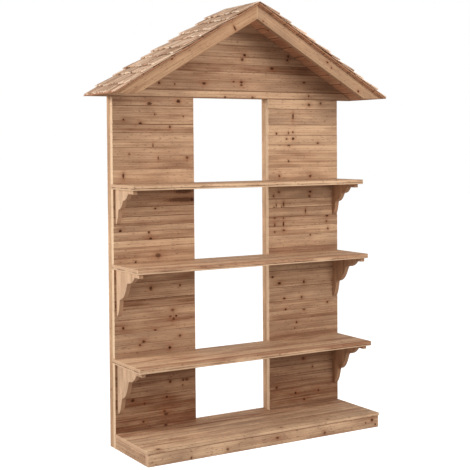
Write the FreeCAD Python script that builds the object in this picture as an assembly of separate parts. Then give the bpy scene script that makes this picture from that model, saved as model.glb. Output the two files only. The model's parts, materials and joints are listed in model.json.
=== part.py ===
import FreeCAD, Part
import math
import os

os.makedirs("parts", exist_ok=True)

# A house-shaped shelf. Lengths are in millimetres, angles in degrees.
# X runs along the width, the front looks towards -Y, Z rises from the floor.

# Walls: two boarded panels on posts, with an open gap between them.
panel_width = 334.0
opening_width = 332.0
wall_height = 1283.0
post_width = 45.0
post_depth = 30.0
board_thickness = 17.5

# Base box that stands on the floor in front of the walls.
base_depth = 265.0
base_height = 56.0
base_top_thickness = 12.0
base_top_overhang = 4.0
base_board_thickness = 18.0
base_top_shares = (0.21, 0.18, 0.22, 0.19, 0.20)

# Shelves. Depths are measured from the front of the wall boards.
shelf_thickness = 17.5
lower_shelf_top = 329.5
lower_shelf_depth = 217.0
lower_shelf_overhang = 4.0
middle_shelf_top = 673.5
middle_shelf_depth = 201.0
middle_shelf_overhang = 1.0
upper_shelf_top = 964.5
upper_shelf_depth = 171.0
upper_shelf_overhang = 0.5

# Scroll-cut brackets. The setback is measured from the front edge of the shelf.
bracket_thickness = 16.0
bracket_side_inset = 9.0
bracket_lip_height = 14.0
bracket_toe = 4.0
lower_bracket_height = 183.0
lower_bracket_setback = 15.5
middle_bracket_height = 170.0
middle_bracket_setback = 10.5
upper_bracket_height = 126.0
upper_bracket_setback = 21.0

# Where the three curves of each bracket start, as shares of its reach and drop.
lower_reach_shares = (0.82, 0.50, 0.20)
lower_drop_shares = (0.26, 0.65)
middle_reach_shares = (0.84, 0.515, 0.16)
middle_drop_shares = (0.24, 0.625)
upper_reach_shares = (0.73, 0.45, 0.175)
upper_drop_shares = (0.31, 0.58)

# Handles of one bracket curve, as shares of its width and fall.
curve_start_share = 0.2
curve_end_share = 0.75
curve_sag_share = 0.1

# Roof. The half span is measured to the eave edge of the deck.
roof_half_span = 593.0
roof_pitch = 30.1
roof_overhang = 210.0
deck_thickness = 8.0
deck_board_count = 10
deck_setback = 5.0
bargeboard_width = 45.0
bargeboard_thickness = 18.0
bargeboard_setback = 15.0
rafter_width = 45.0
tie_beam_height = 45.0
king_post_width = 45.0
gable_board_shares = (0.087, 0.13, 0.084, 0.087, 0.087, 0.133, 0.136, 0.256)

# Shakes, laid in pairs of courses: a short-faced one and a long-faced one.
shake_butt = 7.0
shake_tip = 1.5
shake_gap = 2.0
shake_pair_count = 5
ridge_face_share = 0.2
short_face_share = 0.39
shake_length_share = 0.97
short_course_shares = (0.18, 0.23, 0.19, 0.22, 0.18)
long_course_shares = (0.23, 0.17, 0.22, 0.16, 0.22)

# Heights of the wall boards in each field, from the floor up.
left_board_shares = (
    (0.208, 0.096, 0.160, 0.106, 0.167, 0.087, 0.176),
    (0.145, 0.126, 0.159, 0.113, 0.101, 0.193, 0.163),
    (0.218, 0.088, 0.121, 0.080, 0.121, 0.128, 0.244),
    (0.165, 0.154, 0.100, 0.170, 0.094, 0.213, 0.104),
)
right_board_shares = (
    (0.192, 0.096, 0.135, 0.170, 0.119, 0.138, 0.150),
    (0.115, 0.123, 0.116, 0.113, 0.172, 0.205, 0.156),
    (0.086, 0.176, 0.128, 0.139, 0.135, 0.128, 0.208),
    (0.155, 0.207, 0.079, 0.110, 0.132, 0.198, 0.119),
)

# Places worked out from the sizes above.
body_half = panel_width + opening_width / 2
opening_half = opening_width / 2
wall_depth = post_depth + board_thickness
rear_y = (wall_depth + base_depth) / 2
post_front_y = rear_y - post_depth
wall_front_y = post_front_y - board_thickness
base_front_y = wall_front_y - base_depth
apron_height = base_height - base_top_thickness

pitch = math.radians(roof_pitch)
rise_per_run = math.tan(pitch)
slope_length = roof_half_span / math.cos(pitch)
deck_apex = wall_height + roof_half_span * rise_per_run
soffit_apex = deck_apex - deck_thickness / math.cos(pitch)
bargeboard_apex = soffit_apex - bargeboard_width / math.cos(pitch)
rafter_apex = soffit_apex - rafter_width / math.cos(pitch)
roof_front_y = wall_front_y - roof_overhang
deck_front_y = roof_front_y + deck_setback
bargeboard_front_y = deck_front_y + bargeboard_setback

outer_post_x = body_half - post_width / 2
inner_post_x = opening_half + post_width / 2
bracket_x = body_half - bracket_side_inset - bracket_thickness / 2

shelves = {
    "lower": (lower_shelf_top, lower_shelf_depth, lower_shelf_overhang),
    "middle": (middle_shelf_top, middle_shelf_depth, middle_shelf_overhang),
    "upper": (upper_shelf_top, upper_shelf_depth, upper_shelf_overhang),
}
brackets = {
    "lower": (lower_bracket_height, lower_bracket_setback, lower_reach_shares, lower_drop_shares),
    "middle": (middle_bracket_height, middle_bracket_setback, middle_reach_shares, middle_drop_shares),
    "upper": (upper_bracket_height, upper_bracket_setback, upper_reach_shares, upper_drop_shares),
}
sides = {"left": -1, "right": 1}


def box(x_low, x_high, y_low, y_high, z_low, z_high):
    """A board with square edges between the given faces."""
    corner = FreeCAD.Vector(x_low, y_low, z_low)
    return Part.makeBox(x_high - x_low, y_high - y_low, z_high - z_low, corner)


def centred_box(x_centre, width, y_low, y_high, z_low, z_high):
    """A board of the given width, centred on x_centre."""
    return box(x_centre - width / 2, x_centre + width / 2, y_low, y_high, z_low, z_high)


def prism(outline, y_low, y_high):
    """A straight-edged outline in the XZ plane, drawn out along Y."""
    points = [FreeCAD.Vector(x, y_low, z) for x, z in outline]
    face = Part.Face(Part.makePolygon(points + points[:1]))
    return face.extrude(FreeCAD.Vector(0, y_high - y_low, 0))


def mirrored(outline, side):
    """The outline of the right-hand slope, turned over for the left-hand one."""
    return [(side * x, z) for x, z in outline]


def spread(low, high, shares):
    """Neighbouring intervals that fill low to high in the given shares."""
    edges = [low]
    for share in shares:
        edges.append(edges[-1] + share * (high - low) / sum(shares))
    return list(zip(edges[:-1], edges[1:]))


def save(node, solids):
    """Write one node, as a single solid or as a group of them."""
    shape = solids[0] if len(solids) == 1 else Part.makeCompound(solids)
    shape.exportStep("parts/" + node + ".step")


# Posts, from the floor to the tie beam.
post_places = {
    "left_outer_post": -outer_post_x,
    "left_inner_post": -inner_post_x,
    "right_inner_post": inner_post_x,
    "right_outer_post": outer_post_x,
}
for node, post_x in post_places.items():
    save(node, [centred_box(post_x, post_width, post_front_y, rear_y, 0, wall_height)])

# Wall boards in four fields on each panel, parted by the shelves.
shelf_tops = [top for top, depth, overhang in shelves.values()]
field_bottoms = [0] + shelf_tops
field_tops = [top - shelf_thickness for top in shelf_tops] + [wall_height]
for side_name, field_shares in (("left", left_board_shares), ("right", right_board_shares)):
    x_edges = sorted((sides[side_name] * opening_half, sides[side_name] * body_half))
    for field, shares in enumerate(field_shares):
        boards = [box(*x_edges, wall_front_y, post_front_y, low, high)
                  for low, high in spread(field_bottoms[field], field_tops[field], shares)]
        save(side_name + "_wall_boards_" + str(field + 1), boards)

# Base box: front board and sides on edge, rail and bearer behind, boards on top.
apron_inner_y = base_front_y + base_board_thickness
rail_front_y = wall_front_y - base_board_thickness
side_inner_x = body_half - base_board_thickness
save("base_front_board", [box(-body_half, body_half, base_front_y, apron_inner_y, 0, apron_height)])
for side_name, side in sides.items():
    x_edges = sorted((side * side_inner_x, side * body_half))
    save("base_" + side_name + "_side", [box(*x_edges, apron_inner_y, wall_front_y, 0, apron_height)])
save("base_back_rail", [box(-side_inner_x, side_inner_x, rail_front_y, wall_front_y, 0, apron_height)])
save("base_middle_bearer",
     [centred_box(0, base_board_thickness, apron_inner_y, rail_front_y, 0, apron_height)])
top_half = body_half + base_top_overhang
save("base_top", [box(-top_half, top_half, front, back, apron_height, base_height)
                  for front, back in spread(base_front_y, wall_front_y, base_top_shares)])

# Sill: carries the top on to the rear, between the inner posts.
save("base_sill", [box(-opening_half, opening_half, wall_front_y, rear_y, apron_height, base_height)])

# Shelves, let in between the fields of wall boards as far as the posts.
for level, (top, depth, overhang) in shelves.items():
    shelf_half = body_half + overhang
    save(level + "_shelf", [box(-shelf_half, shelf_half, wall_front_y - depth, post_front_y,
                                top - shelf_thickness, top)])


def bracket_outline(height, reach, reach_shares, drop_shares):
    """Edges of a bracket in the YZ plane: reach forward and drop from the shelf."""
    def point(forward, drop):
        return FreeCAD.Vector(0, -forward, -drop)

    def curve(start, end):
        width = start[0] - end[0]
        fall = end[1] - start[1]
        poles = [
            point(*start),
            point(start[0] - curve_start_share * width, start[1]),
            point(end[0] + curve_end_share * width, end[1] - curve_sag_share * fall),
            point(*end),
        ]
        bow = Part.BezierCurve()
        bow.setPoles(poles)
        return bow.toShape()

    starts = [
        (reach_shares[0] * reach, bracket_lip_height),
        (reach_shares[1] * reach, drop_shares[0] * height),
        (reach_shares[2] * reach, drop_shares[1] * height),
    ]
    ends = starts[1:] + [(bracket_toe, height)]
    corners = [ends[-1], (0, height), (0, 0), (reach, 0), (reach, bracket_lip_height), starts[0]]
    edges = [curve(start, end) for start, end in zip(starts, ends)]
    for corner, following in zip(corners[:-1], corners[1:]):
        edges.append(Part.makeLine(point(*corner), point(*following)))
    return edges


# Brackets under both ends of each shelf, sawn from one board each.
for level, (height, setback, reach_shares, drop_shares) in brackets.items():
    top, depth, overhang = shelves[level]
    edges = bracket_outline(height, depth - setback, reach_shares, drop_shares)
    face = Part.Face(Part.Wire(edges))
    for side_name, side in sides.items():
        blank = face.extrude(FreeCAD.Vector(bracket_thickness, 0, 0))
        x_low = side * bracket_x - bracket_thickness / 2
        blank.translate(FreeCAD.Vector(x_low, wall_front_y, top - shelf_thickness))
        save(level + "_" + side_name + "_bracket", [blank])

# Gable boards between the wall boards and the roof deck; the topmost is a triangle.
gable = []
gable_levels = spread(wall_height, soffit_apex, gable_board_shares)
for low, high in gable_levels:
    low_half = (soffit_apex - low) / rise_per_run
    high_half = (soffit_apex - high) / rise_per_run
    outline = [(-low_half, low), (low_half, low)]
    if (low, high) == gable_levels[-1]:
        outline.append((0, soffit_apex))
    else:
        outline += [(high_half, high), (-high_half, high)]
    gable.append(prism(outline, wall_front_y, post_front_y))
save("gable_boards", gable)


def rake(upper_apex, lower_apex):
    """A sloping piece of the right-hand side, plumb at the ridge, level at the eave."""
    return [
        ((lower_apex - wall_height) / rise_per_run, wall_height),
        ((upper_apex - wall_height) / rise_per_run, wall_height),
        (0, upper_apex),
        (0, lower_apex),
    ]


# Rafters behind the gable boards and bargeboards at the front edge of the roof.
for side_name, side in sides.items():
    rafter = mirrored(rake(soffit_apex, rafter_apex), side)
    save(side_name + "_rafter", [prism(rafter, post_front_y, rear_y)])
    bargeboard = mirrored(rake(soffit_apex, bargeboard_apex), side)
    bargeboard_rear_y = bargeboard_front_y + bargeboard_thickness
    save(side_name + "_bargeboard", [prism(bargeboard, bargeboard_front_y, bargeboard_rear_y)])

# Tie beam and king post between the rafters.
tie_top = wall_height + tie_beam_height
tie_low_half = (rafter_apex - wall_height) / rise_per_run
tie_high_half = (rafter_apex - tie_top) / rise_per_run
save("tie_beam", [prism([(-tie_low_half, wall_height), (tie_low_half, wall_height),
                         (tie_high_half, tie_top), (-tie_high_half, tie_top)], post_front_y, rear_y)])
king_half = king_post_width / 2
king_shoulder = rafter_apex - king_half * rise_per_run
save("king_post", [prism([(-king_half, tie_top), (king_half, tie_top), (king_half, king_shoulder),
                          (0, rafter_apex), (-king_half, king_shoulder)], post_front_y, rear_y)])


def on_slope(up_slope, above_deck):
    """A point of the right-hand slope, from the eave up and out from the deck."""
    x = roof_half_span - up_slope * math.cos(pitch) + above_deck * math.sin(pitch)
    return (x, wall_height + up_slope * math.sin(pitch) + above_deck * math.cos(pitch))


# Roof deck: boards laid front to back, level at the eave and plumb at the ridge.
soffit_half = (soffit_apex - wall_height) / rise_per_run
deck_seams = [slope_length * count / deck_board_count for count in range(1, deck_board_count)]
deck_lower = [(soffit_half, wall_height)] + [on_slope(seam, -deck_thickness) for seam in deck_seams]
deck_upper = [(roof_half_span, wall_height)] + [on_slope(seam, 0) for seam in deck_seams]
deck_lower.append((0, soffit_apex))
deck_upper.append((0, deck_apex))
for side_name, side in sides.items():
    boards = []
    for count in range(deck_board_count):
        outline = [deck_lower[count], deck_upper[count], deck_upper[count + 1], deck_lower[count + 1]]
        boards.append(prism(mirrored(outline, side), deck_front_y, rear_y))
    save(side_name + "_roof_deck", boards)

# Shakes: each course rests on the one below at its butt and on the deck at its tip.
pair_pitch = slope_length / (shake_pair_count + ridge_face_share)
shake_length = shake_length_share * pair_pitch
course_starts = []
for count in range(shake_pair_count):
    course_starts.append(count * pair_pitch)
    course_starts.append((count + short_face_share) * pair_pitch)
course_outlines = []
lift = 0
for start, following in zip(course_starts, course_starts[1:] + [slope_length]):
    length = min(shake_length, slope_length - start)
    tip = shake_butt + (shake_tip - shake_butt) * length / shake_length
    outline = [on_slope(start, lift), on_slope(start, lift + shake_butt)]
    if length < shake_length:
        outline += [(0, deck_apex + tip / math.cos(pitch)), (0, deck_apex)]
    else:
        outline += [on_slope(start + length, tip), on_slope(start + length, 0)]
    course_outlines.append(outline)
    lift += shake_butt + (tip - lift - shake_butt) * (following - start) / length
pair_shares = (short_course_shares, long_course_shares)
for side_name, side in sides.items():
    for pair in range(shake_pair_count):
        shakes = []
        for place, shares in enumerate(pair_shares):
            outline = mirrored(course_outlines[len(pair_shares) * pair + place], side)
            for front, back in spread(roof_front_y, rear_y + shake_gap, shares):
                shakes.append(prism(outline, front, back - shake_gap))
        save(side_name + "_shakes_" + str(pair + 1), shakes)
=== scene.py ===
# %% [markdown]
# # A shelf in the shape of a house
# The shelf is built of natural fir: two boarded wall panels, three shelves on
# scroll-cut brackets, a low base and a gabled roof of split shakes. Its solids
# were modelled and packed before. They could be drawn again here, but then two
# sets of sizes would have to agree, so this lesson loads them as a fixed frame.
# Each solid is then dressed, board by board, with timber that has its own grain,
# knots and eased edges.

import json
import math
import random

import bmesh
import bpy
from mathutils import Euler, Matrix, Vector


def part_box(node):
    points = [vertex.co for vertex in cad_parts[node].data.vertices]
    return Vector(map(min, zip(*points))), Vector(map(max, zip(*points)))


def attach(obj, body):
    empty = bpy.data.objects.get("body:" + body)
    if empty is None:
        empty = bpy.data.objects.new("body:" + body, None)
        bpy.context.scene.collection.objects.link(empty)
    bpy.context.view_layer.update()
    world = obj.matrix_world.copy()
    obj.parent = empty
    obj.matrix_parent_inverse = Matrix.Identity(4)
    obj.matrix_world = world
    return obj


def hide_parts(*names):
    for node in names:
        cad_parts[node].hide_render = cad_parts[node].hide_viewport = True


print_digits = 4

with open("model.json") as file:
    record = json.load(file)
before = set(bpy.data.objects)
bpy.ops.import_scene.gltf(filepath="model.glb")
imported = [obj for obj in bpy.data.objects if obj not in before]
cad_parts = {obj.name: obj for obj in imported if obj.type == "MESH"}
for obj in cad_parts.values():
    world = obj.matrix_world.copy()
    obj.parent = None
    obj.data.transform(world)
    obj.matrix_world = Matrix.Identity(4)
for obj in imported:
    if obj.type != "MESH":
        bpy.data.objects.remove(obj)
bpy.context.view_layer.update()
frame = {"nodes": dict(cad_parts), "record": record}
nodes = frame["nodes"]
scene = bpy.context.scene


def short(values):
    """Values that are short enough to print."""
    return tuple(round(value, print_digits) for value in values)


# %% [markdown]
# ## Camera
# The shelf is seen from its left, from a little above the upper shelf and almost
# level. The camera could be aimed by a constraint, but a turn, a dip and a roll are
# exact and easy to change one by one. A long lens keeps the posts nearly upright,
# and a small downward shift frames the shelf without tilting the camera more.

# %% Set up the camera
sensor_width = 36.0
lens_length = 81.65
camera_place = Vector((-2.09417, -3.41326, 1.10127))
camera_yaw = 0.5392
camera_dip = 0.0396
camera_roll = -0.0068
camera_shift = -0.1
matrix_size = 4

camera = bpy.data.objects.new("camera", bpy.data.cameras.new("camera"))
scene.collection.objects.link(camera)
camera.data.sensor_width = sensor_width
camera.data.lens = lens_length
camera.data.shift_y = camera_shift
camera.matrix_world = (
    Matrix.Translation(camera_place)
    @ Matrix.Rotation(-camera_yaw, matrix_size, "Z")
    @ Matrix.Rotation(math.pi / 2 - camera_dip, matrix_size, "X")
    @ Matrix.Rotation(camera_roll, matrix_size, "Z")
)
scene.camera = camera
print("camera looks from", short(camera_place), "with a lens of", lens_length, "mm")

# %% [markdown]
# ## Writing nodes as sums
# A finish is a recipe of masks and colours, and in Blender a recipe is a tree of
# nodes. Every node could be added and linked by hand, but a sum of three masks
# would then fill a page. Wrapping an output socket in a small class lets a mask be
# written as `1 - mask * 2`, so that the recipes below stay readable.

# %% A small class for sockets
class Flow:
    """The output of a node. Sums and products with it add Math nodes."""

    def __init__(self, bench, socket):
        self.bench = bench
        self.socket = socket

    def other(self, name):
        """Another output of the same node."""
        return Flow(self.bench, self.socket.node.outputs[name])

    def __add__(self, value):
        return self.bench.math("ADD", self, value)

    def __sub__(self, value):
        return self.bench.math("SUBTRACT", self, value)

    def __rsub__(self, value):
        return self.bench.math("SUBTRACT", value, self)

    def __mul__(self, value):
        return self.bench.math("MULTIPLY", self, value)

    def __truediv__(self, value):
        return self.bench.math("DIVIDE", self, value)

    def __rtruediv__(self, value):
        return self.bench.math("DIVIDE", value, self)

    __radd__ = __add__
    __rmul__ = __mul__


print("sums and products of sockets now add Math nodes")

# %% [markdown]
# ## A bench for node trees
# Finishes and repeated shapes are both node trees, and both need the same moves:
# add a node, set it and link it. Two sets of helpers would say the same twice, so
# one class serves both. One of its methods adds any node, and the others give the
# nodes that come back often a short name.

# %% A class for node trees
# The sockets of a Mix node that carry colours.
mix_under_socket = 6
mix_over_socket = 7
mix_colour_output = 2


class Bench:
    """A node tree that is being built, for a finish or for a shape."""

    def __init__(self, tree):
        self.tree = tree

    def node(self, kind, settings=None, sockets=None, output=0):
        """Add a node: its settings first, then the values or links of its sockets."""
        made = self.tree.nodes.new(kind)
        for name, value in (settings or {}).items():
            setattr(made, name, value)
        for key, value in (sockets or {}).items():
            if isinstance(value, Flow):
                self.tree.links.new(value.socket, made.inputs[key])
            else:
                made.inputs[key].default_value = value
        return Flow(self, made.outputs[output]) if made.outputs else made

    def math(self, operation, *values):
        """One Math node."""
        return self.node("ShaderNodeMath", {"operation": operation}, dict(enumerate(values)))

    def vector(self, *values):
        """A vector of up to three parts."""
        return self.node("ShaderNodeCombineXYZ", None, dict(enumerate(values)))

    def split(self, vector):
        """The three parts of a vector."""
        first = self.node("ShaderNodeSeparateXYZ", None, {0: vector})
        return first, first.other("Y"), first.other("Z")

    def noise(self, place, detail):
        """Smooth noise between 0 and 1, with features about one unit apart."""
        return self.node("ShaderNodeTexNoise", None, {"Vector": place, "Scale": 1, "Detail": detail})

    def step(self, value, low, high):
        """A soft step: 0 where the value is at low, 1 where it is at high."""
        return self.node("ShaderNodeMapRange", {"interpolation_type": "SMOOTHSTEP"},
                         {"Value": value, "From Min": low, "From Max": high})

    def blend(self, factor, under, over):
        """Two colours, mixed by a factor that stays between 0 and 1."""
        return self.node("ShaderNodeMix", {"data_type": "RGBA", "clamp_factor": True},
                         {0: factor, mix_under_socket: under, mix_over_socket: over},
                         mix_colour_output)

    def attribute(self, name):
        """What a mesh carries under a name, as a material reads it."""
        return self.node("ShaderNodeAttribute", {"attribute_name": name}, None, "Vector")

    def named(self, name):
        """What a shape carries under a name, as Geometry Nodes read it."""
        return self.node("GeometryNodeInputNamedAttribute", {"data_type": "FLOAT_VECTOR"},
                         {"Name": name})

    def store(self, shape, name, domain, value):
        """Keep a vector for each point, face or copy of a shape under a name."""
        return self.node("GeometryNodeStoreNamedAttribute",
                         {"data_type": "FLOAT_VECTOR", "domain": domain},
                         {"Geometry": shape, "Name": name, "Value": value})


print("one bench builds materials and Geometry Nodes alike")

# %% [markdown]
# ## The browns of fir
# Fir is pale when it is planed, darker in its late wood and darkest in its knots,
# and its worn edges turn pale again. Shader colours are linear, which is hard to
# judge by eye. So every brown is written as it looks on a screen, and one function
# turns it into linear values.

# %% Colours as they look on a screen
# The curve by which a screen turns values into light.
screen_full = 255
screen_knee_share = 0.04045
screen_foot = 12.92
screen_lift_share = 0.055
screen_power = 2.4


def tint(red, green, blue):
    """A colour as it looks on a screen, from 0 to 255, in the linear values of a shader."""
    linear = []
    for value in (red, green, blue):
        share = value / screen_full
        if share <= screen_knee_share:
            linear.append(share / screen_foot)
        else:
            linear.append(((share + screen_lift_share) / (1 + screen_lift_share)) ** screen_power)
    return (*linear, 1.0)


heart_brown = tint(78, 40, 20)
knot_brown = tint(58, 25, 8)
halo_brown = tint(136, 76, 40)
weathered_tan = tint(162, 132, 106)
worn_tan = tint(226, 192, 156)
dusky_brown = tint(138, 96, 68)
# Dark glue lines, and painted shadow lines along the edges of the roof deck.
seam_and_shade_brown = tint(84, 50, 30)
print("worn edges are", short(worn_tan), "and knots", short(knot_brown), "in linear values")

# %% [markdown]
# ## Figure that runs through the timber
# A board is a slice out of a trunk, so its figure runs through it, long on the faces
# and short on the ends. It could be a picture on each face, but then the ends would
# not fit the faces. Instead every board carries a `grain` attribute: its own
# coordinates along, across and through the grain, measured from the pith. Noise that
# is stretched along them gives streaks, fibres and flecks that agree on all sides.

# %% Noise stretched along the grain
# How long, how wide and how detailed each kind of figure is, the first two in metres.
figure_sizes = {
    "wander": (0.5, 0.06, 2),
    "streak": (0.8, 0.0058, 3),
    "fibre": (0.22, 0.0026, 2),
    "blotch": (0.28, 0.02, 3),
    "cloud": (0.11, 0.034, 2),
    "fleck": (0.014, 0.005, 1),
    "ripple": (0.005, 0.005, 2),
}
middle_share = 0.5


def figure(bench, grain, kind):
    """One kind of figure, as noise around zero."""
    along, across, depth = grain
    long, wide, detail = figure_sizes[kind]
    place = bench.vector(along / long, across / wide, depth / wide)
    return bench.noise(place, detail) - middle_share


print("kinds of figure:", ", ".join(figure_sizes))

# %% [markdown]
# ## Knots, spikes and swirls
# A knot is a branch that the saw met. Cut across it is a dark disc with a halo, cut
# lengthwise an upright tick, called a spike, and where the saw only grazed it a long
# lens of dark figure, called a swirl. Painted marks would sit on one face only, so
# each board carries the places and radii of its knots instead. A negative radius
# stands for a spike, and a radius of more than a centimetre for a swirl.

# %% Marks of the knots
knot_slots = 7
# The fraction of a place times this large factor is as good as random.
knot_lot = 91.7
knot_long_share = 0.55
knot_spread_share = 0.7
spike_long_share = 0.6
spike_high_share = 0.5
swirl_radius = 0.01
swirl_long_share = 0.3
swirl_high_share = 1.7
swirl_pale_share = 0.3
smooth_share = 1.1
ragged_share = 1.2
core_shares = (0.4, 0.58)
halo_shares = (0.1, 0.5)
dark_least_share = 0.65


def knot_marks(bench, grain, ripple):
    """How the knots push the rings aside, and masks of their cores and halos."""
    along, across, _ = grain
    push = 0
    core = 0
    halo = 0
    for number in range(knot_slots):
        knot_along, knot_across, reach = bench.split(bench.attribute("knot_" + str(number)))
        radius = bench.math("ABSOLUTE", reach)
        spike = bench.math("LESS_THAN", reach, 0)
        swirl = bench.math("GREATER_THAN", reach, swirl_radius)
        own_share = bench.math("FRACT", knot_along * knot_lot)
        long_share = knot_long_share + knot_spread_share * own_share + spike_long_share * spike
        run = (along - knot_along) * long_share
        run = run * (1 - (1 - swirl_long_share) * swirl)
        rise = (across - knot_across) * (1 - (1 - spike_high_share) * spike)
        rise = rise * (1 + (swirl_high_share - 1) * swirl)
        away = bench.math("SQRT", run * run + rise * rise) * (smooth_share + ragged_share * ripple)
        near = radius / (away + radius)
        push = push + radius * near * near
        dark_share = bench.math("FRACT", own_share * knot_lot)
        mark = bench.step(near, *core_shares) * (dark_least_share + (1 - dark_least_share) * dark_share)
        mark = mark * (1 - swirl_pale_share * swirl)
        core = bench.math("MAXIMUM", core, mark)
        halo = bench.math("MAXIMUM", halo, bench.step(near, *halo_shares))
    return push, core, halo


print("a board can carry", knot_slots, "knots")

# %% [markdown]
# ## Growth rings
# Each year a trunk adds a ring, pale at first and dark in late summer. Blender has a
# wave texture with rings, but that knows nothing of the knots. Rings are distances
# from the pith, so they are worked out from the grain: that gives long figure on the
# faces and arcs on the ends, and what the knots push aside is simply added.

# %% Late wood of the rings
ring_width = 0.0066
ring_wander = 0.006
knot_push_share = 2.2
late_rise_shares = (0.4, 0.9)
late_fall_shares = (1, 0.92)


def late_wood(bench, grain, wander, push):
    """The dark late wood of every ring, as a mask."""
    _, across, depth = grain
    from_pith = bench.math("SQRT", across * across + depth * depth)
    ring = bench.math("FRACT", (from_pith + ring_wander * wander + knot_push_share * push) / ring_width)
    return bench.step(ring, *late_rise_shares) * bench.step(ring, *late_fall_shares)


class BoardMarks:
    """What a finish reads from the board that wears it, and the figure that follows."""

    def __init__(self, bench):
        self.grain = bench.split(bench.attribute("grain"))
        self.tone, self.lot, self.lift = bench.split(bench.attribute("board"))
        self.end, self.edge, self.rim = bench.split(bench.attribute("faces"))
        self.figures = {kind: figure(bench, self.grain, kind) for kind in figure_sizes}
        push, self.core, self.halo = knot_marks(bench, self.grain, self.figures["ripple"])
        self.late = late_wood(bench, self.grain, self.figures["wander"], push)


print("rings are", ring_width, "m wide")

# %% [markdown]
# ## The colour of a planed face
# Planed fir runs from pale to ruddy, with darker late wood, small flecks and greyed
# patches. One picture for all boards would repeat itself, so the colour is built in
# layers, each laid over the last by a mask, like thin washes of stain. The tone that
# a board carries moves the whole mix, and a board that is glued up from strips
# changes its tone from one strip to the next.

# %% Wash the faces
tone_base_share = 0.05
tone_share = 0.9
mottle_shares = {"streak": 0.9, "fibre": 1, "blotch": 1, "cloud": 0.8}
strip_share = 0.5
lot_cloud_share = 1.5
weather_shares = (0.4, 1.1)
weather_cover_share = 0.4
late_patch_shares = (-0.1, 0.35)
late_least_share = 0.09
late_tone_share = 0.16
fleck_shares = (0.1, 0.24)
fleck_cover_share = 0.44


def face_colour(bench, board, pale, ruddy, contrast_share, strip):
    """The colour of a planed face, from the tone and the figure of its board."""
    cloud = board.figures["cloud"]
    mottle = sum(share * board.figures[kind] for kind, share in mottle_shares.items())
    amount = tone_base_share + tone_share * board.tone + contrast_share * mottle
    if strip:
        _, across, _ = board.grain
        lane = bench.math("FLOOR", across / strip)
        shade = bench.node("ShaderNodeTexWhiteNoise", {"noise_dimensions": "1D"}, {"W": lane}, "Value")
        amount = amount + strip_share * (shade - middle_share)
    colour = bench.blend(amount, pale, ruddy)
    grey = bench.step(board.lot + lot_cloud_share * cloud, *weather_shares)
    colour = bench.blend(weather_cover_share * grey, colour, weathered_tan)
    patch = bench.step(board.figures["blotch"] + cloud, *late_patch_shares)
    late = contrast_share * board.late * patch * (late_least_share + late_tone_share * board.tone)
    colour = bench.blend(late, colour, heart_brown)
    fleck = bench.step(board.figures["fleck"], *fleck_shares)
    return bench.blend(fleck_cover_share * contrast_share * fleck, colour, heart_brown)


print("the tone of a face is mottled by", ", ".join(mottle_shares))

# %% [markdown]
# ## Ends, knots, edges and glue
# Sawn ends, knots, eased edges and the rims of ends differ in colour from the faces.
# Each could have a material of its own, but then the figure would stop at the
# border. So they are masks that the board carries, laid over the same colour. The
# shelves are made of two layers, and the line where these are glued shows along
# their edges, broken by the figure.

# %% Wash the ends, knots and edges
end_cover_share = 0.8
# Which boards lose part of their end tint: painted shade where the end tint is a painted highlight.
unlit_end_shares = (0.7, 0.3)
halo_cover_share = 0.45
edge_cover_share = 0.7
rim_cover_share = 0.5
glue_soft = 0.001
glue_wide = 0.0025
glue_fill_shares = (-0.2, 0.15)
glue_cover_share = 0.7
layer_cover_share = 0.5


def cut_colour(bench, board, colour, end_tint, edge_tint, rim_tint, unlit_end_share):
    """Ends, knots, eased edges and rims over the colour of the faces."""
    # On the shakes the end tint is a painted highlight, and this mask takes it off some butts again as
    # painted shade.
    dull = bench.step(board.lot + lot_cloud_share * board.figures["cloud"], *unlit_end_shares)
    colour = bench.blend(board.end * (end_cover_share - unlit_end_share * dull), colour, end_tint)
    colour = bench.blend(halo_cover_share * board.halo, colour, halo_brown)
    colour = bench.blend(board.core, colour, knot_brown)
    colour = bench.blend(edge_cover_share * board.edge, colour, edge_tint)
    return bench.blend(rim_cover_share * board.rim, colour, rim_tint)


def glue_line(bench, board, colour, glue):
    """A paler lower layer and the broken dark line where it meets the upper one."""
    lower = bench.step(board.lift, glue, glue - glue_wide)
    colour = bench.blend(layer_cover_share * lower, colour, worn_tan)
    line = 1 - bench.step(bench.math("ABSOLUTE", board.lift - glue), glue_soft, glue_wide)
    filled = bench.step(board.figures["cloud"] + board.figures["streak"], *glue_fill_shares)
    return bench.blend(glue_cover_share * line * filled, colour, seam_and_shade_brown)


print("a glue line is up to", 2 * glue_wide, "m wide")

# %% [markdown]
# ## Fir, as one recipe
# Uncoated fir is dull, its fibres stand up a little and its knots sit lower. Fine
# relief could be modelled, but it is far below the size of the faces, so a Bump node
# gives it. One function joins colour, dullness and relief, and every finish of the
# shelf is a call of it with other tints.

# %% The wood recipe
bump_height = 0.0007
bump_share = 0.4
fibre_raise_share = 0.5
late_raise_share = 0.22
knot_sink_share = 0.3
fibre_rough_share = 0.3
knot_rough_share = 0.1
sheen_share = 0.14
planed_rough_share = 0.72


def bench_of(owner):
    """An empty bench for a material or a world."""
    owner.use_nodes = True
    owner.node_tree.nodes.clear()
    return Bench(owner.node_tree)


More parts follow.
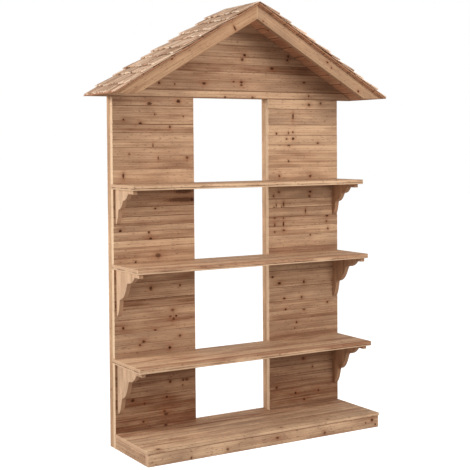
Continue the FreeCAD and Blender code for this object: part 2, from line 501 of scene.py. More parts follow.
def wood(name, pale, ruddy, end_tint, edge_tint, rim_tint=worn_tan, contrast_share=1, strip=0,
         glue=0, unlit_end_share=0, rough_share=planed_rough_share):
    """A finish for fir between a pale and a ruddy tone.

    The contrast share scales the figure. Strip is the width of the strips that a board is glued up from,
    glue the height of the glue line on its edges, and the unlit end share says how much of the end tint
    is taken away on some boards, as painted shade where the end tint holds a painted highlight.
    """
    material = bpy.data.materials.new(name)
    bench = bench_of(material)
    board = BoardMarks(bench)
    fibre = board.figures["fibre"]
    colour = face_colour(bench, board, pale, ruddy, contrast_share, strip)
    colour = cut_colour(bench, board, colour, end_tint, edge_tint, rim_tint, unlit_end_share)
    if glue:
        colour = glue_line(bench, board, colour, glue)
    height = fibre_raise_share * fibre + late_raise_share * board.late - knot_sink_share * board.core
    normal = bench.node("ShaderNodeBump", None, {
        "Strength": bump_share,
        "Distance": bump_height,
        "Height": height,
    })
    shader = bench.node("ShaderNodeBsdfPrincipled", None, {
        "Base Color": colour,
        "Roughness": rough_share + fibre_rough_share * fibre + knot_rough_share * board.core,
        "Normal": normal,
        "Specular IOR Level": sheen_share,
    })
    bench.node("ShaderNodeOutputMaterial", None, {"Surface": shader})
    return material


print("the recipe for wood is ready")

# %% [markdown]
# ## A finish for each kind of board
# The boards are all fir, but they differ in how they were sawn and worn: ruddy wall boards with dark
# seams, paler shelves, a dull roof deck and pale shakes. Some tints carry painted light too: the near
# white butts of the shakes are a painted highlight, and the dark ends and edges of the deck and the
# brackets are painted shade. A material for every board would be too many to adjust, and one for all too
# even. So each kind has a row of tints, and the boards differ further by what they carry.

# %% The finishes of the shelf
shelf_strip = 0.046
shelf_glue = 0.006
deck_rough_share = 0.8
shake_rough_share = 0.85
# How much of the painted highlight on the butts some shakes lose again, as painted shade.
shake_unlit_butt_share = 0.72
recipes = {
    "wall_boards": dict(
        name="fir_wall", pale=tint(207, 169, 134), ruddy=tint(124, 80, 54),
        end_tint=tint(244, 210, 174), edge_tint=tint(106, 67, 43), contrast_share=0.92),
    "shelf_boards": dict(
        name="fir_shelf", pale=tint(212, 175, 140), ruddy=tint(146, 99, 71),
        end_tint=tint(206, 167, 134), edge_tint=dusky_brown, contrast_share=1.25,
        strip=shelf_strip, glue=shelf_glue),
    # The dark end tint of the brackets is end grain and painted shade on their sawn curves.
    "brackets": dict(
        name="fir_bracket", pale=tint(220, 182, 148), ruddy=tint(128, 82, 56),
        end_tint=tint(160, 118, 88), edge_tint=worn_tan, contrast_share=0.7),
    "battens": dict(
        name="fir_batten", pale=tint(230, 189, 150), ruddy=tint(172, 126, 92),
        end_tint=tint(222, 182, 146), edge_tint=worn_tan, contrast_share=0.9),
    "bargeboards": dict(
        name="fir_bargeboard", pale=tint(184, 146, 112), ruddy=tint(132, 90, 62),
        end_tint=tint(190, 153, 120), edge_tint=dusky_brown, contrast_share=1.1),
    # The darkened end tint and the dark edges and rims of the deck are painted shade: the shadow lines
    # above and below its front edge, under the shakes and over the bargeboards, laid over the colour of
    # end grain.
    "roof_deck": dict(
        name="fir_deck", pale=tint(214, 158, 120), ruddy=tint(152, 102, 75),
        end_tint=tint(146, 104, 76), edge_tint=seam_and_shade_brown, rim_tint=seam_and_shade_brown,
        contrast_share=1.1, rough_share=deck_rough_share),
    # The near white end tint of the shakes is a painted highlight on their butts, over the pale colour
    # of end grain.
    "shakes": dict(
        name="split_shake", pale=tint(244, 210, 180), ruddy=tint(176, 137, 110),
        end_tint=tint(255, 236, 212), edge_tint=worn_tan, contrast_share=1.4,
        unlit_end_share=shake_unlit_butt_share, rough_share=shake_rough_share),
}
finishes = {slot: wood(**recipe) for slot, recipe in recipes.items()}
print("wood finishes:", ", ".join(sorted(finishes)))

# %% [markdown]
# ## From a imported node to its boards
# On the real shelf every board is a piece of its own, and in a panel the boards lie
# edge to edge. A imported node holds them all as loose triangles. Merging points and
# separating loose parts would weld boards that touch, so the triangles are read in
# order: a run of them is one closed board as soon as every edge has met its twin.
# Each board is then cleaned to flat faces.

# %% Part a node into its boards
flat_angle = math.radians(1)
weld_digits = 6


def solids_of(node):
    """The closed solids of a CAD node, each as a list of triangles."""
    mesh = nodes[node].data
    solids = []
    triangles = []
    unmet = set()
    for face in mesh.polygons:
        places = [mesh.vertices[index].co for index in face.vertices]
        corners = [tuple(round(value, weld_digits) for value in place) for place in places]
        triangles.append(corners)
        for start, finish in zip(corners, corners[1:] + corners[:1]):
            if (finish, start) in unmet:
                unmet.remove((finish, start))
            else:
                unmet.add((start, finish))
        if not unmet:
            solids.append(triangles)
            triangles = []
    return solids


def stock_from(triangles):
    """A clean bmesh of one solid, with one face for each flat side."""
    stock = bmesh.new()
    places = {}
    for corners in triangles:
        for corner in corners:
            if corner not in places:
                places[corner] = stock.verts.new(corner)
        stock.faces.new([places[corner] for corner in corners])
    stock.normal_update()
    bmesh.ops.dissolve_limit(stock, angle_limit=flat_angle, verts=stock.verts, edges=stock.edges)
    stock.normal_update()
    return stock


print("parted", sum(len(solids_of(node)) for node in nodes), "solids out of", len(nodes), "nodes")

# %% [markdown]
# ## A board with grain, knots and eased edges
# Every board comes from its own place in a trunk, and its edges were softened by
# plane and hand. A Bevel modifier could ease them, but it doesn't say which faces are
# new. The bevel of bmesh returns the faces that it makes, so they can be marked for
# the finish. Grain runs along the longest edge, unless the maker turned the stock.

# %% Cut one board
flank_share = 0.5
sharp_angle = math.radians(25)
ease_segments = 2
ease_round_share = 0.5
end_share = 0.3
flat_share = 0.9
pith_aside = 0.06
pith_near = 0.03
pith_far = 0.08
trunk_run = 40.0
stray_knot_radius = 0.0035
stray_size_shares = (0.6, 1.6)


class Board:
    """One solid of a node as a length of timber, with its own axes, pith and edges."""

    def __init__(self, triangles, grain, chance):
        self.stock = stock_from(triangles)
        longest = max(self.stock.edges, key=lambda edge: edge.calc_length())
        self.along = grain or (longest.verts[1].co - longest.verts[0].co).normalized()
        flanks = [face for face in self.stock.faces if abs(face.normal.dot(self.along)) < flank_share]
        self.through = max(flanks, key=lambda face: face.calc_area()).normal.copy()
        self.across = self.through.cross(self.along).normalized()
        corners = [vert.co.copy() for vert in self.stock.verts]
        self.middle = sum(corners, Vector()) / len(corners)
        self.underside = min(corner.z for corner in corners)
        self.reach_along = [self.along.dot(corner) for corner in corners]
        self.reach_across = [self.across.dot(corner) for corner in corners]
        self.shift = chance.uniform(0, trunk_run)
        self.pith_across = chance.uniform(-pith_aside, pith_aside)
        self.pith_through = chance.choice((-1, 1)) * chance.uniform(pith_near, pith_far)

    def grain_at(self, place):
        """A place along, across and through the grain, measured from the pith."""
        off = place - self.middle
        return (self.along.dot(place) + self.shift, self.across.dot(off) + self.pith_across,
                self.through.dot(off) + self.pith_through)

    def knots_from(self, knots, per_metre, chance):
        """The given knots that lie in this board, and strays as many as its length asks for."""
        low, high = min(self.reach_along), max(self.reach_along)
        across_low, across_high = min(self.reach_across), max(self.reach_across)
        own = []
        for place, radius in knots:
            inside = across_low <= self.across.dot(place) < across_high
            if inside and low < self.along.dot(place) < high:
                own.append((self.along.dot(place), self.across.dot(place), radius))
        strays = min(knot_slots, int(chance.random() + per_metre * (high - low)))
        for _ in range(strays):
            own.append((chance.uniform(low, high), chance.uniform(across_low, across_high),
                        stray_knot_radius * chance.uniform(*stray_size_shares)))
        own = own[:knot_slots] + [(0, 0, 0)] * (knot_slots - len(own))
        centre = self.across.dot(self.middle)
        return [(knot_along + self.shift, knot_across - centre + self.pith_across, radius)
                for knot_along, knot_across, radius in own]

    def ease(self, width):
        """Round the sharp edges off, and remember the faces that this makes."""
        sharp = [edge for edge in self.stock.edges if edge.calc_face_angle(0) > sharp_angle]
        eased = bmesh.ops.bevel(self.stock, geom=sharp, offset=width, offset_type="OFFSET",
                                segments=ease_segments, profile=ease_round_share, affect="EDGES",
                                clamp_overlap=True)
        self.eased = set(eased["faces"])
        self.stock.normal_update()

    def is_rim(self, face):
        """Whether a face lies between the two flat sides, as the sawn curve of a bracket does."""
        return abs(face.normal.dot(self.through)) < flat_share

    def face_mark(self, face, rounded):
        """Three marks of a face: an end, an eased edge, or the eased rim of an end."""
        is_end = (rounded and self.is_rim(face)) or abs(face.normal.dot(self.along)) > end_share
        is_eased = face in self.eased
        return float(is_end), float(is_eased and not is_end), float(is_eased and is_end)


print("edges sharper than", round(math.degrees(sharp_angle)), "degrees are eased")

# %% [markdown]
# ## A dressed piece for each node
# A panel, a shelf or a bracket is one piece to the maker, however many boards are in
# it. Boards as separate objects would crowd the scene, so all boards of a node go into
# one mesh. What each board carries is stored on its points and faces as attributes,
# which the finishes read.

# %% Join the boards of a node
# The glue line of a board with one layer is put out of reach.
far_off = 1.0
free_tone_shares = (0.2, 0.6)


def keep_marks(mesh, name, domain, rows):
    """Store a vector for each point or face of a mesh under a name."""
    layer = mesh.attributes.new(name, "FLOAT_VECTOR", domain)
    layer.data.foreach_set("vector", [value for row in rows for value in row])


def timber(node, edge, knots=(), tones=None, grain=None, per_metre=0, rounded=False, glued=False,
           lots=None, edge_shares=(1,)):
    """A dressed piece for one CAD node: every solid in it becomes a board.

    Tones, and lots that say how grey a board is, are given board by board or else drawn at
    random. Edge shares scale the width of the eased edges. A rounded piece has sawn curves,
    and a glued one has two layers.
    """
    chance = random.Random(node)
    slot = next(row["material_slot"] for row in frame["record"]["subparts"] if row["node"] == node)
    points = []
    faces = []
    smooth = []
    marks = {name: [] for name in ("grain", "board")}
    marks.update({"knot_" + str(number): [] for number in range(knot_slots)})
    face_marks = []
    for count, triangles in enumerate(solids_of(node)):
        board = Board(triangles, grain, chance)
        own_knots = board.knots_from(knots, per_metre, chance)
        tone = tones[count] if tones else chance.uniform(*free_tone_shares)
        lot = lots[count % len(lots)] if lots else chance.random()
        board.ease(edge * edge_shares[count % len(edge_shares)])
        first = len(points)
        for index, vert in enumerate(board.stock.verts):
            vert.index = index
            points.append(vert.co.copy())
            marks["grain"].append(board.grain_at(vert.co))
            marks["board"].append((tone, lot, vert.co.z - board.underside if glued else far_off))
            for number, knot in enumerate(own_knots):
                marks["knot_" + str(number)].append(knot)
        for face in board.stock.faces:
            faces.append([first + vert.index for vert in face.verts])
            face_marks.append(board.face_mark(face, rounded))
            smooth.append(rounded and board.is_rim(face))
        board.stock.free()
    mesh = bpy.data.meshes.new(node + "_timber")
    mesh.from_pydata(points, [], faces)
    mesh.polygons.foreach_set("use_smooth", smooth)
    for name, rows in marks.items():
        keep_marks(mesh, name, "POINT", rows)
    keep_marks(mesh, "faces", "FACE", face_marks)
    mesh.set_sharp_from_angle(angle=sharp_angle)
    mesh.materials.append(finishes[slot])
    piece = bpy.data.objects.new(node + "_timber", mesh)
    scene.collection.objects.link(piece)
    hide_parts(node)
    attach(piece, "root")
    return piece


def report(pieces):
    """Say how much was made."""
    print(len(pieces), "pieces,", sum(len(piece.data.polygons) for piece in pieces), "faces")


print("each piece carries its boards as attributes")

# %% [markdown]
# ## Wall panels and gable
# Each panel is made of narrow boards of very different tone, laid level from post to
# post, and the gable of boards that follow the roof. They could be one sheet with
# drawn lines, but light catches real seams. So every board has eased edges of its
# own, wider where a seam shows more. Tones run from 0, pale, to 1, ruddy, in the order
# of the boards from the floor up, and knots sit where the real boards have them.

# %% Tones, painted shade and seams of the wall boards
# The tones hold painted shade as well as the boards' own tones: the lowest fields, under the deep lower
# shelf, are made the ruddiest for the shade that falls there.
panel_tone_and_shade_shares = {
    "left": (
        (1.00, 1.00, 0.90, 0.74, 0.54, 0.76, 0.58),
        (0.60, 0.50, 0.58, 0.60, 0.74, 0.36, 0.58),
        (0.50, 0.08, 0.48, 0.28, 0.48, 0.42, 0.44),
        (0.26, 0.54, 0.42, 0.34, 0.58, 0.46, 0.58),
    ),
    "right": (
        (1.00, 0.86, 0.86, 0.84, 0.58, 0.66, 0.36),
        (0.68, 0.64, 0.66, 0.40, 0.46, 0.36, 0.32),
        (0.74, 0.26, 0.40, 0.56, 0.54, 0.28, 0.32),
        (0.22, 0.32, 0.16, 0.10, 0.12, 0.38, 0.06),
    ),
}
gable_tone_shares = (0.26, 0.66, 0.56, 0.82, 0.46, 0.46, 0.42, 0.30)
# How wide the edges of each board are eased, as a share of the usual width.
panel_seam_shares = (0.7, 0.7, 1, 0.7, 1.8, 1.8, 1.4)
gable_seam_shares = (4, 0.7, 1.2, 0.7, 1.5, 0.7, 0.7, 0.7)
print("tones for", sum(len(fields) for fields in panel_tone_and_shade_shares.values()), "fields and the gable")

# %% Knots of the wall boards
# Across, height and radius of each knot, in millimetres.
panel_knots = {
    "left": (
        (-350, 1258, 6), (-230, 1268, 6), (-388, 1184, 6), (-267, 1173, 5), (-337, 1103, -4),
        (-458, 995, -5), (-195, 1058, 5), (-434, 1074, 3), (-455, 1198, 3), (-316, 1058, -3),
        (-329, 1219, 3), (-210, 1212, 3), (-357, 785, 5), (-350, 760, 6), (-320, 698, 8),
        (-473, 795, 5), (-212, 932, 13), (-208, 901, 15), (-176, 899, 5), (-330, 872, 3),
        (-412, 678, 4), (-352, 578, 7), (-262, 490, 5), (-272, 467, 5), (-258, 457, 6),
        (-247, 467, 5), (-465, 440, 5), (-335, 420, 5), (-383, 383, 5), (-398, 371, 4),
        (-232, 390, 4), (-275, 350, 6), (-230, 580, 4), (-275, 222, 5), (-220, 222, 5),
        (-205, 222, 5), (-222, 202, 3), (-430, 170, 6), (-383, 152, 5), (-290, 166, 4),
        (-300, 113, 5), (-293, 102, 5), (-388, 85, 4), (-295, 62, 6),
    ),
    "right": (
        (361, 1263, 5), (418, 1270, 5), (284, 1216, -6), (283, 1153, 4), (262, 1150, 4),
        (253, 1127, 4), (284, 1128, 5), (205, 1148, 4), (404, 1109, 4), (263, 1102, 4),
        (262, 1039, 4), (217, 981, 5), (366, 978, 5), (215, 917, 4), (190, 902, 5),
        (365, 915, 4), (362, 897, 6), (237, 868, -5), (202, 866, -4), (228, 858, -3),
        (192, 856, -3), (342, 838, -5), (195, 788, -4), (236, 790, -5), (238, 765, 4),
        (195, 760, 3), (195, 815, 3), (236, 813, 3), (448, 815, 5), (445, 793, 5),
        (452, 763, 5), (365, 742, 4), (183, 582, 4), (215, 555, 5), (333, 553, 5),
        (238, 493, 4), (322, 492, 5), (245, 448, 5), (333, 443, 4), (448, 462, 4),
        (297, 393, 4), (288, 370, 3), (328, 243, 6), (373, 205, 4), (200, 140, 5),
        (290, 108, 5), (402, 105, 5), (332, 77, 4),
    ),
    "gable": (
        (60, 1450, 5), (50, 1433, 6), (185, 1403, 6), (45, 1345, 5), (45, 1335, 4),
        (-120, 1337, 5), (-310, 1335, 5), (-245, 1332, 3), (262, 1452, 5), (258, 1438, 5),
        (338, 1352, 4), (360, 1298, 4), (95, 1288, 4), (-28, 1287, 4), (10, 1347, 3),
        (120, 1328, 3),
    ),
}
millimetre = 0.001


def knots_at(places):
    """Knots of a list of x, y, z and radius in millimetres, in metres."""
    return [(Vector(place) * millimetre, radius * millimetre) for *place, radius in places]


wall_knots = {panel: knots_at((x, 0, z, radius) for x, z, radius in rows)
              for panel, rows in panel_knots.items()}
print("knots in the walls:", {panel: len(rows) for panel, rows in wall_knots.items()})

# %% Dress the walls and the gable
wall_edge = 0.0007
walls = []
for side, fields in panel_tone_and_shade_shares.items():
    for count, tones in enumerate(fields):
        node = side + "_wall_boards_" + str(count + 1)
        walls.append(timber(node, wall_edge, wall_knots[side], tones, edge_shares=panel_seam_shares))
walls.append(timber("gable_boards", wall_edge, wall_knots["gable"], gable_tone_shares,
                    edge_shares=gable_seam_shares))
report(walls)

# %% [markdown]
# ## Shelves and base
# The shelves and the base are what hands and books touch, so their edges are rounder
# than those of the walls. Their solids are plain boards, and a finer mesh would add
# nothing that shows. The two layers of a shelf, the strips of its top and a few knots
# come from the finish instead, at places that the boards carry.

# %% Dress the shelves and the base
shelf_edge = 0.0014
levels = ("lower", "middle", "upper")
stand_knots = {
    "base_front_board": knots_at((
        (-331, 0, 8, 4), (-183, 0, 16, 4), (30, 0, 26, 4), (243, 0, 14, 5), (469, 0, 31, 5),
        (485, 0, 12, 4), (438, 0, 24, 3),
    )),
    "base_top": knots_at((
        (-456, -146, 0, 7), (56, -138, 0, 4), (274, -132, 0, 5), (431, 73, 0, 4), (-360, -60, 0, 3),
    )),
    "upper_shelf": knots_at(((-385, -57, 0, 2), (212, 20, 0, 3))),
    "middle_shelf": knots_at(((-72, -87, 0, 2), (-461, -86, 0, 2), (330, -10, 0, 3))),
    "lower_shelf": knots_at(((-335, -103, 0, 2), (-166, -102, 0, 2), (180, 20, 0, 3), (395, -60, 0, 3))),
}
# The boards of the base top get ruddier towards the walls: painted shade under the lower shelf, over
# their own tones.
stand_tone_and_shade_shares = {
    "base_front_board": (0.34,),
    "base_top": (0.2, 0.42, 0.3, 0.6, 0.84),
    "upper_shelf": (0.34,),
    "middle_shelf": (0.36,),
    "lower_shelf": (0.44,),
}
base_lot_shares = (0.7, 0.6, 0.9, 0.7, 0.5)
stand = []
for level in levels:
    node = level + "_shelf"
    stand.append(timber(node, shelf_edge, stand_knots[node], stand_tone_and_shade_shares[node], glued=True))
for node in ("base_top", "base_sill", "base_front_board", "base_left_side", "base_right_side"):
    stand.append(timber(node, shelf_edge, stand_knots.get(node, ()), stand_tone_and_shade_shares.get(node),
                        lots=base_lot_shares))
report(stand)

# %% [markdown]
# ## Brackets
# The brackets are sawn from upright stock along a line of hollow curves and then sanded. Their outlines
# could be drawn anew as curve objects, but the solids already hold them. So only the grain is turned
# upright, the facets of the sawn curves are shaded smooth, and their rims take a darker tint: the darker
# end grain, together with painted shade on the curves that turn away from the lamps.

# %% Dress the brackets
bracket_edge = 0.0016
upright = Vector((0, 0, 1))
sides = ("left", "right")
# The right brackets are given a ruddier tone than the left ones: painted shade, for they stand in the
# shadow of the left brackets.
bracket_tone_and_shade_shares = {"left": (0.08,), "right": (0.42,)}
brackets = []
for level in levels:
    for side in sides:
        node = level + "_" + side + "_bracket"
        brackets.append(timber(node, bracket_edge, tones=bracket_tone_and_shade_shares[side], grain=upright,
                               rounded=True))
report(brackets)

# %% [markdown]
# ## Battens, bargeboards and roof deck
# Posts, rails and rafters carry the boards from behind, the bargeboards close the roof
# in front, and the deck carries the shakes. Most of this is seen only in the gap or
# from the back, so knots placed by hand would be wasted there. They are scattered at
# random, with a fixed seed for each piece. Only the posts in sight and the bargeboards
# have set tones, and the bargeboards also have knots in set places.

# %% Dress the battens, bargeboards and roof deck
batten_edge = 0.0012
deck_edge = 0.002
stray_knots = 2
frame_nodes = ["base_back_rail", "base_middle_bearer", "tie_beam", "king_post"]
for side in sides:
    frame_nodes += [side + "_outer_post", side + "_inner_post", side + "_rafter"]
post_tone_shares = {"left_outer_post": (0.52,), "left_inner_post": (0,), "right_inner_post": (0.36,)}
bargeboard_tone_shares = (0.3,)
bargeboard_knots = knots_at((
    (-97, 0, 1528, -5), (-354, 0, 1407, 3), (25, 0, 1559, 3), (316, 0, 1418, 3), (334, 0, 1397, 3),
    (463, 0, 1310, 4), (245, 0, 1481, 3),
))
battens = []
for node in frame_nodes:
    battens.append(timber(node, batten_edge, tones=post_tone_shares.get(node), per_metre=stray_knots))
roof = []
for side in sides:
    roof.append(timber(side + "_bargeboard", batten_edge, bargeboard_knots, bargeboard_tone_shares))
    roof.append(timber(side + "_roof_deck", deck_edge, per_metre=stray_knots))
report(battens + roof)

# %% [markdown]
# ## Seats for the shakes
# The roof is covered with short shakes in courses, each resting on the one below. They
# could be scattered over the slope, but then they would not lie where the solids lie.
# So every solid is measured in the axes of its slope, x up the slope and z out of it,
# and its seat, size and tip are kept. The solids are wide, so each seat is split in two
# at a random place, as the real shakes are narrow and uneven.

# %% Find the seat of every shake on its slope
slope_slack = 0.002
split_shares = (0.36, 0.64)


def slope_of(side):
    """The eave of a roof slope and the turn that lays x up the slope and z out of it."""
    low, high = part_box(side + "_roof_deck")
    pitch = math.atan2(high.z - low.z, high.x - low.x)
    if side == "left":
        return Vector((low.x, 0, low.z)), Euler((0, -pitch, 0))
    return Vector((high.x, 0, low.z)), Euler((0, -pitch, math.pi))


def shake_seats(side, shake_nodes):
    """Seat, size and tip of each shake that shows, two for every solid."""
    chance = random.Random(side + " shakes")
    eave, turn = slope_of(side)
    to_slope = turn.to_matrix().transposed()
    seats = []
    for node in shake_nodes:
        for triangles in solids_of(node):
            corners = [to_slope @ (Vector(corner) - eave) for face in triangles for corner in face]
            start = min(corner.x for corner in corners)
            butt = [corner.z for corner in corners if corner.x - start < slope_slack]
            upper = [corner for corner in corners if corner.x - start >= slope_slack]
            finish = min(corner.x for corner in upper)
            plumb_cut = max(corner.x for corner in upper) - finish
            tip = max(corner.z for corner in upper)
            front = min(corner.y for corner in corners)
            back = max(corner.y for corner in corners)
            seam = front + (back - front) * chance.uniform(*split_shares)
            for near, far in ((front, seam), (seam, back)):
                seats.append({
                    "seat": (start, (near + far) / 2, min(butt)),
                    "size": (finish - start, far - near, max(butt) - min(butt)),
                    "tip": (tip, plumb_cut, 0),
                })
    return seats


for side in sides:
    eave, turn = slope_of(side)
    print("the", side, "slope starts at", short(eave), "with turns of", short(turn), "radians")

# %% [markdown]
# ## A tree that grows shakes
# A shake is split from a block along the grain, so its butt is ragged and no two are
# alike. Modelling each by hand would be slow, and copies would look stamped. So one
# unit shake is laid on every seat, and Geometry Nodes give each copy its own length,
# width, ragged butt and hollows. All of these only take wood away, which keeps the
# roof inside the sizes of the solids.

# %% Lay a unit shake on every seat
shake_seed = 7
shake_grid = {"Vertices X": 4, "Vertices Y": 6, "Vertices Z": 2}
unit_half = 0.5

shake_tree = bpy.data.node_groups.new("lay_shakes", "GeometryNodeTree")
shake_tree.is_modifier = True
shake_inputs = {"Ragged": 0.019, "Side Gap": 0.0022, "Hollow": 0.0018}
socket_kinds = {"Geometry": "NodeSocketGeometry", "Turn": "NodeSocketVector", "Eave": "NodeSocketVector"}
socket_kinds.update({label: "NodeSocketFloat" for label in shake_inputs})
shake_sockets = {}
for label, kind in socket_kinds.items():
    socket = shake_tree.interface.new_socket(label, in_out="INPUT", socket_type=kind)
    shake_sockets[label] = socket.identifier
shake_tree.interface.new_socket("Geometry", in_out="OUTPUT", socket_type="NodeSocketGeometry")

roofer = Bench(shake_tree)
given = roofer.node("NodeGroupInput")
unit = roofer.node("GeometryNodeMeshCube", None, shake_grid)
unit = roofer.node("GeometryNodeTransform", None, {
    "Geometry": unit,
    "Translation": (unit_half, 0, unit_half),
})
unit = roofer.store(unit, "unit", "POINT", roofer.node("GeometryNodeInputPosition"))
laid = roofer.node("GeometryNodeInstanceOnPoints", None, {"Points": given, "Instance": unit})
lots = roofer.node("FunctionNodeRandomValue", {"data_type": "FLOAT_VECTOR"}, {"Seed": shake_seed})
laid = roofer.store(laid, "lot", "INSTANCE", lots)
laid = roofer.node("GeometryNodeRealizeInstances", None, {"Geometry": laid})
print("a unit shake has", shake_grid)

# %% [markdown]
# ## Shape each shake
# A shake tapers from a thick butt to a thin tip, and the blade that split it left
# hollows. The unit shake could be bent by modifiers, but all copies would bend alike.
# In the tree, each point knows its place in the unit, from 0 to 1, and the random lots
# of its shake, so one sum for each direction places it.

# %% Shape and place the shakes
butt_waves = 4.0
hollow_waves = 2.6
lot_spread = 50.0
uneven_detail = 2
uneven_shares = (0.3, 0.7)
even_share = 0.5
narrow_share = 0.08
sway_share = 0.9
thin_share = 0.6
thick_spread_share = 0.35

up, across, out = roofer.split(roofer.named("unit"))
start, middle, lift = roofer.split(roofer.named("seat"))
length, width, butt = roofer.split(roofer.named("size"))
tip, plumb_cut, _ = roofer.split(roofer.named("tip"))
first, second, third = roofer.split(roofer.named("lot"))


def unevenness(*waves):
    """Smooth noise over one shake, another for every shake."""
    place = roofer.vector(*waves, (first + second) * lot_spread)
    return roofer.step(roofer.noise(place, uneven_detail), *uneven_shares)


ragged = unevenness(third * lot_spread, across * butt_waves)
set_back = given.other("Ragged") * (even_share * first + (1 - even_share) * ragged)
spare = given.other("Side Gap") + narrow_share * width * second
sway = sway_share * (first - middle_share) * spare
thick = (butt + (tip - butt) * up) * (thin_share + thick_spread_share * third)
thick = thick - given.other("Hollow") * (thick / butt) * unevenness(up, across * hollow_waves)
shaped = roofer.vector(
    start + up * length + (1 - up) * set_back + up * out * plumb_cut,
    middle + across * (width - spare) + sway,
    lift * (1 - up) + out * thick,
)
laid = roofer.node("GeometryNodeSetPosition", None, {"Geometry": laid, "Position": shaped})
print("butts are set back by up to", shake_inputs["Ragged"], "m")

# %% [markdown]
# ## Grain and slope of the shakes
# Shakes are split, so their grain runs straight up the slope, and their butts are pale end grain, which
# their finish lifts to a near white painted highlight. They wear the same wood recipe as the boards, so
# the tree stores the same attributes for them. It ends by turning the flat field of shakes on to its
# slope, which is easier than building it on the slant.

# %% Mark the shakes and turn them on to the slope
shake_pith = 0.06
butt_facing_shares = (0.4, 0.6)

run, aside, rise = roofer.split(shaped)
shake_grain = roofer.vector(
    run + first * lot_spread,
    aside + shake_pith * second,
    rise + shake_pith * third,
)
laid = roofer.store(laid, "grain", "POINT", shake_grain)
laid = roofer.store(laid, "board", "POINT", roofer.vector(second, third, 1 - up))
facing, _, _ = roofer.split(roofer.node("GeometryNodeInputNormal"))
butt_end = roofer.step(0 - facing, *butt_facing_shares)
laid = roofer.store(laid, "faces", "FACE", roofer.vector(butt_end, 0, 0))
turned = roofer.node("FunctionNodeEulerToRotation", None, {0: given.other("Turn")})
laid = roofer.node("GeometryNodeTransform", None, {
    "Geometry": laid,
    "Translation": given.other("Eave"),
    "Rotation": turned,
})
laid = roofer.node("GeometryNodeSetMaterial", None, {"Geometry": laid, "Material": finishes["shakes"]})
roofer.node("NodeGroupOutput", None, {"Geometry": laid})
print("the shake tree has", len(shake_tree.nodes), "nodes")

# %% [markdown]
# ## Shakes on both slopes
# Both slopes carry the same kind of shakes, in other random lots. A mirrored copy of
# one slope would show, so the tree runs once for each. Its result is kept as a plain
# mesh, because a live modifier would not travel with the part.

# %% Lay the shakes on both slopes
def lay_shakes(side):
    """One roof slope of shakes, grown by the tree and kept as a plain mesh."""
    shake_nodes = sorted(node for node in nodes if node.startswith(side + "_shakes_"))
    seats = shake_seats(side, shake_nodes)
    bed = bpy.data.meshes.new(side + "_shake_seats")
    bed.from_pydata([seat["seat"] for seat in seats], [], [])
    for name in ("seat", "size", "tip"):
        keep_marks(bed, name, "POINT", [seat[name] for seat in seats])
    piece = bpy.data.objects.new(side + "_shake_roof", bed)
    scene.collection.objects.link(piece)
    grow = piece.modifiers.new("lay_shakes", "NODES")
    grow.node_group = shake_tree
    eave, turn = slope_of(side)
    for label, value in (*shake_inputs.items(), ("Turn", tuple(turn)), ("Eave", tuple(eave))):
        grow[shake_sockets[label]] = value
    settled = bpy.context.evaluated_depsgraph_get()
    mesh = bpy.data.meshes.new_from_object(piece.evaluated_get(settled), preserve_all_data_layers=True,
                                           depsgraph=settled)
    piece.modifiers.clear()
    piece.data = mesh
    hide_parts(*shake_nodes)
    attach(piece, "root")
    print(len(seats), "shakes on the", side, "slope")
    return piece


report([lay_shakes(side) for side in sides])

# %% [markdown]
# ## Floor and backdrop
# The shelf stands in a studio where floor and backdrop are the same white, with no
# horizon. A white plane alone would turn grey towards the back, and a brighter room
# would flatten the wood. So paper and backdrop are brighter only to the camera, in
# reflections and through glass, and the light that they give to the wood is set apart
# from that.

# %% Floor
floor_half = 14.0
floor_corners = ((-1, -1), (1, -1), (1, 1), (-1, 1))
floor_white = 0.6
floor_glow = 0.885
white = (1, 1, 1, 1)


def in_sight(bench):
    """1 for rays of the camera, of reflections and through glass, 0 for those that gather light."""
    camera_ray = bench.node("ShaderNodeLightPath", None, None, "Is Camera Ray")
    sight = camera_ray
    for ray in ("Is Glossy Ray", "Is Transmission Ray"):
        sight = bench.math("MAXIMUM", sight, camera_ray.other(ray))
    return sight


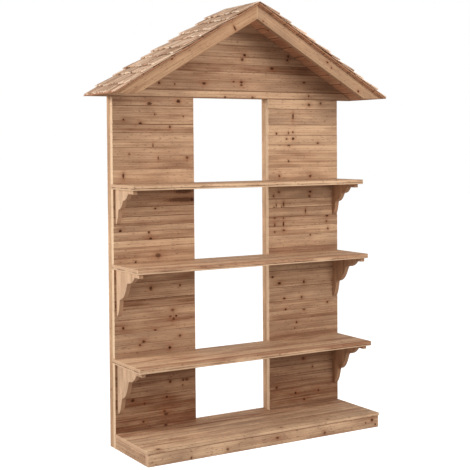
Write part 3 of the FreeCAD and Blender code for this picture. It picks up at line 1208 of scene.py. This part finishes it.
floor_mesh = bpy.data.meshes.new("floor")
floor_points = [(x * floor_half, y * floor_half, 0) for x, y in floor_corners]
floor_mesh.from_pydata(floor_points, [], [range(len(floor_points))])
floor = bpy.data.objects.new("floor", floor_mesh)
scene.collection.objects.link(floor)
paper = bpy.data.materials.new("studio_paper")
bench = bench_of(paper)
matt = bench.node("ShaderNodeBsdfDiffuse", None, {"Color": (floor_white, floor_white, floor_white, 1)})
glow = bench.node("ShaderNodeEmission", None, {"Color": white, "Strength": floor_glow})
both = bench.node("ShaderNodeAddShader", None, {0: matt, 1: glow})
chosen = bench.node("ShaderNodeMixShader", None, {0: in_sight(bench), 1: matt, 2: both})
bench.node("ShaderNodeOutputMaterial", None, {"Surface": chosen})
floor_mesh.materials.append(paper)
print("the floor is", 2 * floor_half, "m wide")

# %% World
backdrop_glow = 1.0
room_glow = 0.3

world = bpy.data.worlds.new("studio")
bench = bench_of(world)
backdrop = bench.node("ShaderNodeBackground", None, {"Color": white, "Strength": backdrop_glow})
room = bench.node("ShaderNodeBackground", None, {"Color": white, "Strength": room_glow})
chosen = bench.node("ShaderNodeMixShader", None, {0: in_sight(bench), 1: room, 2: backdrop})
bench.node("ShaderNodeOutputWorld", None, {"Surface": chosen})
scene.world = world
print("the backdrop shines with", backdrop_glow, "and the room with", room_glow)

# %% [markdown]
# ## Soft lamps
# In the studio large soft lamps light the shelf, so shadows have no hard border and the
# bays get darker under each shelf. A sun would draw hard shadows, and a lit room alone
# none. Three square lamps do it: one at the left, a little behind the walls, one in
# front and slightly to the right, and one in front from above.

# %% Lamps
# Place and side in metres and power in watts of each lamp.
softboxes = {
    "left_softbox": ((-4.2, 0.9, 1.9), 1.2, 116),
    "right_softbox": ((0.7, -2.75, 1.75), 1.6, 53),
    "top_softbox": ((-0.4, -2.5, 3.0), 1.6, 34),
}
lamp_aim = Vector((0, 0, 0.8))


def softbox(name, place, size, power):
    """A square soft lamp that looks at the middle of the shelf."""
    lamp = bpy.data.lights.new(name, "AREA")
    lamp.shape = "SQUARE"
    lamp.size = size
    lamp.energy = power
    lamp_stand = bpy.data.objects.new(name, lamp)
    scene.collection.objects.link(lamp_stand)
    look = (lamp_aim - Vector(place)).to_track_quat("-Z", "Y")
    lamp_stand.matrix_world = Matrix.Translation(Vector(place)) @ look.to_matrix().to_4x4()


for name, (place, size, power) in softboxes.items():
    softbox(name, place, size, power)
# The Standard transform shows the tints as they were written.
scene.view_settings.view_transform = "Standard"
print("lamps:", ", ".join(softboxes))
